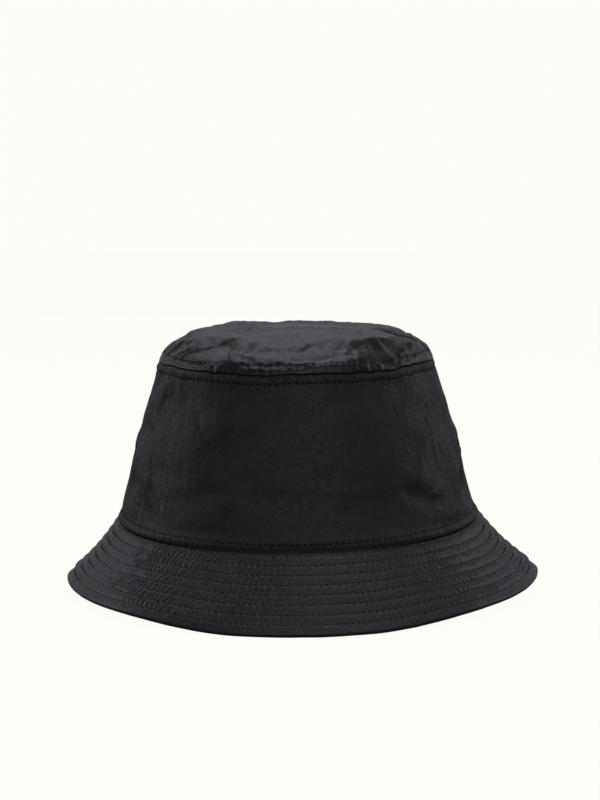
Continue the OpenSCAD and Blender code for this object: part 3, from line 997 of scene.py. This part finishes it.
def topstitching():
    def base_row(turn, off):
        return band_point(turn, TOPSTITCH_OFF, off)

    def band_row(turn, off):
        return band_point(turn, BAND_H - TOPSTITCH_OFF, off)

    def tip_row(turn, off):
        return tip_point(turn, 1 - TOPSTITCH_OFF / TIP_ARC, off)

    for name, path, table in (
        ("crown_base_topstitch", base_row, band_table),
        ("band_topstitch", band_row, tip_table),
        ("tip_topstitch", tip_row, tip_table),
    ):
        row = gather_parts(name + "_thread", stitches(path, table))
        finish_piece(row, [THREAD, HOLE_SHADE_PAINT], name)


def eyelet(name, turn):
    """A satin-stitched ring: one thread after another, laid over the hole's rim."""
    middle, out, across, rise = eyelet_frame(turn)
    count = 44
    a = (np.arange(count) * 2 * np.pi / count)[:, None]
    r = np.array([1.28, 1.42, 1.9, 2.5, 3.0, 3.35]) * MM * np.ones_like(a)
    r[:, 3:] += 0.12 * MM * noise(a / np.pi * 22, 0.5, 41)
    up = np.array([-0.6, 0.05, 0.42, 0.42, 0.2, -0.35]) * MM
    centres = middle + r[..., None] * circle(a, across, rise) + up[:, None] * out
    swing = circle(a - np.pi / 2, across, rise)
    threads = tubes(centres, np.broadcast_to(swing, centres.shape), np.full(r.shape, BAR_THREAD_R))
    ring = gather_parts(name + "_thread", [(*threads, 0)])
    finish_piece(ring, [THREAD], name)


# ---------------------------------------------------------------- brim
CHANNEL_STEPS = np.array([0.0, 0.07, 0.16, 0.3, 0.45, 0.6, 0.74, 0.86, 0.94])


def channel_face(turn, seed, height, side, rows_up):
    """Along and up for every point of a quilted face, from the seam to the last row. side is 1 or -1."""
    slant = brim_slant(turn)[2]
    pull = brim_seam_pull(turn)
    first = ROW_MARKS[0]
    along, up = [], []
    for k in (0.0, 0.3, 0.65, 0.9):
        along.append(first * k * slant)
        swell = 0.15 * MM * math.sin(math.pi * min(1.0, k / 0.9)) if side > 0 else 0.2 * MM * k
        tuck = -0.9 * MM * (1 - k) ** 2 if side > 0 else 0.0
        dips = 0.5 * MM * seam_pucker(turn, 0.001, ROW_TABLES[0], seed) * k
        up.append(rows_up + side * (tuck + swell * k + dips))
    for channel in range(ROW_COUNT - 1):
        for k in CHANNEL_STEPS:
            along.append(mix(ROW_MARKS[channel], ROW_MARKS[channel + 1], k) * slant)
            dip = row_dips(turn, channel) * bell(k * CHANNEL_W, DIP_ACROSS)
            dip += row_dips(turn, channel + 1) * bell((1 - k) * CHANNEL_W, DIP_ACROSS)
            face = dip + channel_height(turn, channel, k, seed, height) + pull
            up.append(rows_up + side * np.maximum(face, -0.8 * MM))
    along.append(ROW_MARKS[-1] * slant)
    up.append(rows_up + side * (row_dips(turn, ROW_COUNT - 1) + pull))
    return np.stack(along, 1), np.stack(up, 1)


def rolled_edge(turn):
    """Along and up round the padded edge, from the last stitch row over and under to the underside."""
    slant = brim_slant(turn)[2][:, None]
    pull = 0.4 * brim_seam_pull(turn)[:, None]
    first = ROW_MARKS[-1] * slant
    middle = slant - EDGE_IN
    k = np.array([0.06, 0.14, 0.28, 0.45, 0.65, 0.85])
    ripple = 0.16 * MM * ring_noise(turn, 0.009, 0.5, 61) + 0.1 * MM * ring_noise(turn, 0.0035, 0.5, 62)
    rise = 1 - np.exp(-k / 0.11)
    top = EDGE_MID + EDGE_R + pull + ripple[:, None] * np.sin(np.pi * k)
    over_along = mix(first, middle, k)
    over_up = mix(row_dips(turn, ROW_COUNT - 1)[:, None], top, rise)
    a = np.radians(np.linspace(90, -90, 13))
    round_along = middle + (EDGE_R + 0.5 * ripple[:, None]) * np.cos(a)
    round_up = EDGE_MID + EDGE_R * np.sin(a) + pull * np.sin(a)
    k = np.array([0.3, 0.6, 0.85, 1.0])
    under_along = mix(middle, 0.935 * slant, k)
    under_up = EDGE_MID - EDGE_R + np.array([0.05, 0.2, 0.5, 1.0]) * MM + 0 * slant
    along = np.concatenate([over_along, round_along, under_along], 1)
    return along, np.concatenate([over_up, round_up, under_up], 1)


def brim_top(name, turn_low, turn_high):
    turn = turn_columns(turn_low, turn_high)
    face_along, face_up = channel_face(turn, 40, PUFF_H, 1, 0.0)
    edge_along, edge_up = rolled_edge(turn)
    slant = brim_slant(turn)[2][:, None]
    back_along = slant * np.array([0.95, 0.9, 0.75, 0.55, 0.35, 0.15, 0.02])
    back_up = np.full_like(back_along, TOP_BACK)
    along = np.concatenate([face_along, edge_along, back_along], 1)
    up = np.concatenate([face_up, edge_up, back_up], 1)
    brim = brim_point(turn[:, None], along, up, clear_floor=True)
    # The allowance turns up inside the crown
    inside = band_point(turn[:, None], np.array([0.6, 4.0, 7.5, 7.5, 3.0]) * MM, 0, relief=False)
    insets = np.array([1.75, 1.7, 1.7, 1.5, 1.5]) * MM
    flat_x, flat_y = oval(BASE_W, BASE_D, turn[:, None], 0)
    nx, ny = oval(BASE_W, BASE_D, turn[:, None], -1)
    inside = inside + np.stack([(nx - flat_x) * insets, (ny - flat_y) * insets, 0 * flat_x * insets], -1)
    rows = np.concatenate([brim, inside], axis=1)
    u = np.radians(turn)[:, None] * (BASE_W + along)
    v = along + 0.3
    extra = rows.shape[1] - along.shape[1]
    uv = np.stack([np.pad(u, ((0, 0), (0, extra)), "edge"), np.pad(v, ((0, 0), (0, extra)), "edge")], -1)
    top = swept_mesh(name + "_cloth", rows, uv)
    finish_piece(top, [BRIM_SHELL], name)


def brim_underside(name, turn_low, turn_high):
    turn = turn_columns(turn_low, turn_high, 2)
    along, up = channel_face(turn, 50, 0.6 * PUFF_H, -1, UNDER_ROWS)
    slant = brim_slant(turn)[2][:, None]
    tail_along, tail_up = 0.93 * slant, np.full_like(slant, UNDER_ROWS + 0.1 * MM)
    back_along = slant * np.array([0.93, 0.75, 0.55, 0.35, 0.15, 0.0])
    back_up = np.full_like(back_along, UNDER_ROWS + 0.4 * MM)
    along = np.concatenate([along, tail_along, back_along], 1)[:, ::-1]
    up = np.concatenate([up, tail_up, back_up], 1)[:, ::-1]
    rows = brim_point(turn[:, None], along, up, clear_floor=True)
    uv = np.stack([np.radians(turn)[:, None] * (BASE_W + along), along + 0.6], -1)
    under = swept_mesh(name + "_cloth", rows, uv)
    finish_piece(under, [BRIM_SHELL], name)


def interlining():
    """The stiff padding between the two brim cloths, pressed thin along the stitch rows."""
    turn = turn_columns(-180, 180, 1)
    slant = brim_slant(turn)[2]
    marks, swell = [0.0], [0.0]
    for channel in range(ROW_COUNT - 1):
        for k in (0.0, 0.25, 0.5, 0.75):
            marks.append(mix(ROW_MARKS[channel], ROW_MARKS[channel + 1], k))
            swell.append(math.sin(math.pi * k))
    marks += [ROW_MARKS[-1], 0.955]
    swell += [0.0, 0.3]
    along = slant[:, None] * np.array(marks + marks[::-1])
    top = -1.2 * MM + 0.1 * MM * np.array(swell)
    under = -1.4 * MM - 0.05 * MM * np.array(swell[::-1])
    up = np.broadcast_to(np.concatenate([top, under]), along.shape)
    rows = brim_point(turn[:, None], along, up)
    uv = np.stack([np.radians(turn)[:, None] * (BASE_W + along), along + 0.9], -1)
    pad = swept_mesh("brim_interlining_pad", rows, uv, ring=True)
    finish_piece(pad, [WADDING], "brim_interlining")


def brim_rows():
    for row in range(ROW_COUNT):
        mark = ROW_MARKS[row]

        def on_top(turn, off):
            return brim_point(turn, mark * brim_slant(turn)[2], row_dips(turn, row) + off)

        def underneath(turn, off):
            up = UNDER_ROWS - row_dips(turn, row) - off
            return brim_point(turn, mark * brim_slant(turn)[2], up)

        parts = stitches(on_top, ROW_TABLES[row]) + stitches(underneath, ROW_TABLES[row])
        name = f"brim_stitch_row_{row + 1}"
        finish_piece(gather_parts(name + "_thread", parts), [THREAD, HOLE_SHADE_PAINT], name)


# ---------------------------------------------------------------- inside
def lining_panel(name, turn_low, turn_high):
    turn = turn_columns(turn_low, turn_high, 1.5)[:, None]
    h = np.linspace(BAND_H - 0.5 * MM, 1.2 * MM, 60)
    loose = smooth(h, SWEAT_H, SWEAT_H + 15 * MM) * smooth(BAND_H - h, 0, 8 * MM)
    slack = 0.5 + 0.5 * ring_noise(turn, 0.021, h / 0.04, 70)
    pleats = 0.5 + 0.5 * crease(ring_noise(turn, 0.009, h / 0.05, 71))
    inset = LINING_INSET + 0.05 * MM + loose * (0.5 * slack + 0.35 * pleats) * MM
    outer = band_point(turn, h, -inset, relief=False)
    inner = band_point(turn, h[::-1], -inset[:, ::-1] - LINING_T, relief=False)
    u = np.radians(turn) * BASE_W
    uv = stacked(u, np.concatenate([h, h[::-1]])[None, :])
    panel = swept_mesh(name + "_cloth", np.concatenate([outer, inner], axis=1), uv)
    finish_piece(panel, [LINING], name)


def lining_tip():
    turn = turn_columns(-180, 180, 1)[:, None]
    r = np.linspace(0, 0.99, 50)
    a = np.radians(turn)
    x, y = TIP_W * r * np.sin(a), -TIP_D * r * np.cos(a)
    slack = 0.5 + 0.5 * noise(x / 0.03, y / 0.04, 72)
    crumple = 0.5 + 0.5 * crease(noise(x / 0.014, y / 0.017, 73))
    inset = LINING_INSET + 0.1 * MM + smooth(1 - r, 0.02, 0.2) * (1.2 * slack + 0.5 * crumple) * MM
    outer = tip_point(turn, r, -inset, relief=False)
    inner = tip_point(turn, r[::-1], -inset[:, ::-1] - LINING_T, relief=False)
    rows = np.concatenate([outer, inner], axis=1)
    tip = swept_mesh("lining_tip_cloth", rows, rows[..., :2] + 0.5, ring=True)
    finish_piece(tip, [LINING], "lining_tip")


def sweat_inset(turn, h):
    """The sweatband's outer face, which leans a little off the lining and ripples at its free top edge."""
    ripple = 0.35 * MM * (0.5 + 0.5 * ring_noise(turn, 0.045, 0.5, 80))
    return SWEAT_INSET + ripple * smooth(h, 0.008, SWEAT_H)


def sweatband():
    """A wide tape, sewn in at the brim seam and folded double, with a round fold along its top."""
    turn = turn_columns(-180, 180, 1.5)[:, None]
    h = np.linspace(SWEAT_H - 0.6 * MM, -0.6 * MM, 24)
    a = np.radians(np.linspace(165, 15, 6))
    fold_h = SWEAT_H - 0.6 * MM + 0.5 * MM * np.sin(a)
    fold_in = SWEAT_T / 2 + 0.55 * SWEAT_T * np.cos(a)
    outer_in = sweat_inset(turn, h)
    inner_in = sweat_inset(turn, h[::-1]) + SWEAT_T
    top_in = sweat_inset(turn, SWEAT_H) + fold_in
    heights = np.concatenate([h, h[::-1], fold_h])
    insets = np.concatenate([outer_in, inner_in, top_in], axis=1)
    rows = band_point(turn, np.broadcast_to(heights, insets.shape), -insets, relief=False)
    uv = stacked(np.radians(turn) * BASE_W, heights[None, :])
    band = swept_mesh("sweatband_tape", rows, uv, ring=True)
    finish_piece(band, [SWEATBAND], "sweatband")

    def sewn(turn, off):
        h = 1.6 * MM
        return band_point(turn, h, -sweat_inset(turn, h) - SWEAT_T - off, relief=False)

    row = gather_parts("sweatband_topstitch_thread", stitches(sewn, band_table))
    finish_piece(row, [THREAD, HOLE_SHADE_PAINT], "sweatband_topstitch")


def size_label():
    """A blank woven label on the sweatband, at the back, sewn down at both ends."""
    turn = np.linspace(180 - SIZE_LABEL_HALF_TURN, 180 + SIZE_LABEL_HALF_TURN, 41)[:, None]
    k = np.linspace(0, 1, 13)
    h = SIZE_LABEL_LOW + SIZE_LABEL_H * k[::-1]
    ends = np.abs(turn - 180) / SIZE_LABEL_HALF_TURN
    lift = 0.12 * MM * (1 - smooth(ends, 0.8, 0.9)) * (0.6 + 0.4 * noise(turn / 2, 0.5, 82))
    under = sweat_inset(turn, h) + SWEAT_T + 0.08 * MM + 0.5 * lift
    over = under[:, ::-1] + 0.22 * MM
    rows = np.concatenate(
        [band_point(turn, h, -under, relief=False), band_point(turn, h[::-1], -over, relief=False)], axis=1
    )
    uv = stacked(np.radians(turn) * BASE_W, np.concatenate([h, h[::-1]])[None, :])
    label = swept_mesh("size_label_tape", rows, uv)
    label.data.set_sharp_from_angle(angle=math.radians(50))
    finish_piece(label, [LABEL], "size_label")


def care_label():
    """A blank satin label hanging by its top edge, with a soft curl."""
    width = care_high.x - care_low.x
    top, length = care_high.z, care_high.z - care_low.z
    middle_y = (care_low.y + care_high.y) / 2
    u = np.linspace(-0.5, 0.5, 31)[:, None]
    k = np.linspace(0, 1, 45)
    curl = 0.35 * MM * np.sin(2.6 * k + 0.5 * u) * k - 0.5 * MM * (u * u) * smooth(k, 0, 0.6)
    x = width * u + 0 * k
    z = top - length * k + 0 * u
    front = np.stack([x, middle_y - 0.1 * MM + curl, z], -1)
    back = np.stack([x, middle_y + 0.1 * MM + curl, z], -1)[:, ::-1]
    rows = np.concatenate([front, back], axis=1)
    uv = np.stack([rows[..., 0] + 0.1, rows[..., 2]], -1)
    label = swept_mesh("care_label_tape", rows, uv)
    label.data.set_sharp_from_angle(angle=math.radians(50))
    finish_piece(label, [LABEL], "care_label", body="hanging_label")


def care_label_tack():
    """A bar of close stitches that holds the care label to the lining."""
    low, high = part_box("care_label_tack")
    count = 26
    x = np.linspace(low.x + 0.2 * MM, high.x - 0.2 * MM, count)[:, None]
    run = np.linspace(0, 1, 6)
    y = mix(low.y, high.y, run) + 0 * x
    z = (low.z + high.z) / 2 + 0.25 * MM * np.sin(np.pi * run) + 0.05 * MM * noise(x / (0.4 * MM), 0.5, 84)
    centres = np.stack([x + 0 * run, y, z + 0 * x], -1)
    normals = np.broadcast_to(np.array([1.0, 0, 0]), centres.shape)
    threads = tubes(centres, normals, np.full(y.shape, BAR_THREAD_R))
    bar = gather_parts("care_label_tack_thread", [(*threads, 0)])
    finish_piece(bar, [LABEL_THREAD], "care_label_tack")


# ---------------------------------------------------------------- the hat
def both_halves(make, name, shift=0):
    """A front and a back piece, which meet at the sides, or shift degrees round from there."""
    for half, turn_low, turn_high in (("front", -90, 90), ("back", 90, 270)):
        make(name.format(half), shift + turn_low, shift + turn_high)


crown_tip()
both_halves(band_panel, "crown_{}_panel")
topstitching()
for eyelet_name, eyelet_turn in EYELETS.items():
    eyelet(eyelet_name, eyelet_turn)
both_halves(brim_top, "brim_top_{}", BRIM_SEAM_TURN)
both_halves(brim_underside, "brim_underside_{}", BRIM_SEAM_TURN)
interlining()
brim_rows()
both_halves(lining_panel, "lining_{}_panel")
lining_tip()
sweatband()
size_label()
care_label()
care_label_tack()
